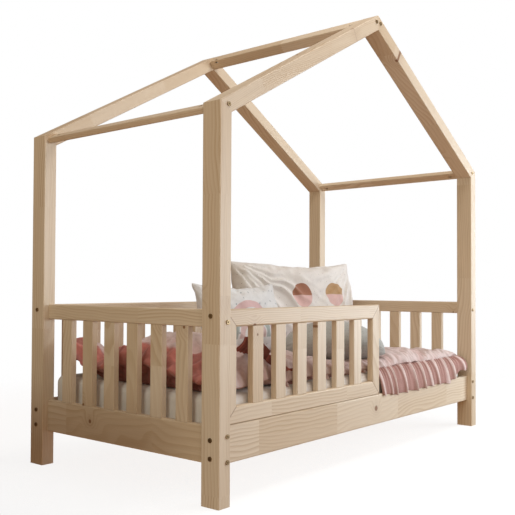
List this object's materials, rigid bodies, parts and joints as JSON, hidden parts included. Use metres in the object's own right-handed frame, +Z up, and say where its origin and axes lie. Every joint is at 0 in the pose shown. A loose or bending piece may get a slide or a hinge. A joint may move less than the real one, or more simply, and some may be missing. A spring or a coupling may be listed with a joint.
{
  "type": "toddler bed",
  "caption": "House-shaped pine toddler bed: four posts, two open gables with ridge beam and eave rails, slatted guards all round with an entry gap, slatted base, mattress, duvet and cushions.",
  "frame": {"origin": "middle of the footprint at floor level", "axes": "+X along the bed's length toward the end with the entry gap, +Y across the bed toward its back, +Z up"},
  "size_m": [1.515, 0.785, 1.4185],
  "materials": {
    "pine": "satin pine under clear oil or lacquer, finger-jointed",
    "beech_dowel": "matte turned beech",
    "bolt_brass": "satin antique brass",
    "zinc_steel": "satin zinc-plated steel",
    "webbing": "matte woven tape",
    "fitted_sheet": "matte cotton jersey",
    "duvet_cover": "matte crinkled cotton, dusty pink",
    "cream_print": "matte cotton, cream with small dots",
    "white_print": "matte cotton, white with small dots",
    "grey_dots": "matte cotton, grey with darker dots"
  },
  "bodies": {
    "frame": {"barrel_nuts": "zinc_steel", "base_slats": "pine", "bearer_back": "pine", "bearer_front": "pine", "bearer_screws": "zinc_steel", "dowels": "beech_dowel", "eave_rail_left": "pine", "eave_rail_right": "pine", "end_board_left": "pine", "end_board_right": "pine", "frame_bolts": "bolt_brass", "guard_back_slats": "pine", "guard_front_bottom_rail": "pine", "guard_front_left_stile": "pine", "guard_front_right_stile": "pine", "guard_front_slat_1": "pine", "guard_front_slat_2": "pine", "guard_front_slat_3": "pine", "guard_front_slat_4": "pine", "guard_front_slat_5": "pine", "guard_front_slat_6": "pine", "guard_front_top_rail": "pine", "guard_left_slat_1": "pine", "guard_left_slat_2": "pine", "guard_left_slat_3": "pine", "guard_left_slat_4": "pine", "guard_left_slat_5": "pine", "guard_left_slat_6": "pine", "guard_rail_back": "pine", "guard_rail_left": "pine", "guard_rail_right": "pine", "guard_right_slat_1": "pine", "guard_right_slat_2": "pine", "guard_right_slat_3": "pine", "guard_right_slat_4": "pine", "guard_right_slat_5": "pine", "guard_right_slat_6": "pine", "post_back_left": "pine", "post_back_right": "pine", "post_front_left": "pine", "post_front_right": "pine", "rafter_back_left": "pine", "rafter_back_right": "pine", "rafter_front_left": "pine", "rafter_front_right": "pine", "ridge_beam": "pine", "roof_bolts": "bolt_brass", "side_rail_back": "pine", "side_rail_front": "pine", "webbing_back": "webbing", "webbing_front": "webbing"},
    "mattress_body": {"mattress": "fitted_sheet"},
    "duvet_body": {"duvet": "duvet_cover", "duvet_ruffle": "duvet_cover"},
    "large_pillow_body": {"large_pillow": "cream_print"},
    "small_pillow_body": {"small_pillow": "white_print"},
    "oval_cushion_body": {"oval_cushion": "grey_dots"}
  },
  "joints": [
    {"name": "lift_mattress", "type": "slide", "parent": "frame", "child": "mattress_body", "axis": [0, 0, 1], "range_m": [0, 0.12]},
    {"name": "lift_duvet", "type": "slide", "parent": "mattress_body", "child": "duvet_body", "axis": [0, 0, 1], "range_m": [0, 0.1]},
    {"name": "lift_large_pillow", "type": "slide", "parent": "duvet_body", "child": "large_pillow_body", "axis": [0.0757, 0.2475, 0.9659], "range_m": [0, 0.12]},
    {"name": "lift_small_pillow", "type": "slide", "parent": "duvet_body", "child": "small_pillow_body", "axis": [0, 0, 1], "range_m": [0, 0.15]},
    {"name": "lift_oval_cushion", "type": "slide", "parent": "duvet_body", "child": "oval_cushion_body", "axis": [0, 0, 1], "range_m": [0, 0.15]}
  ]
}
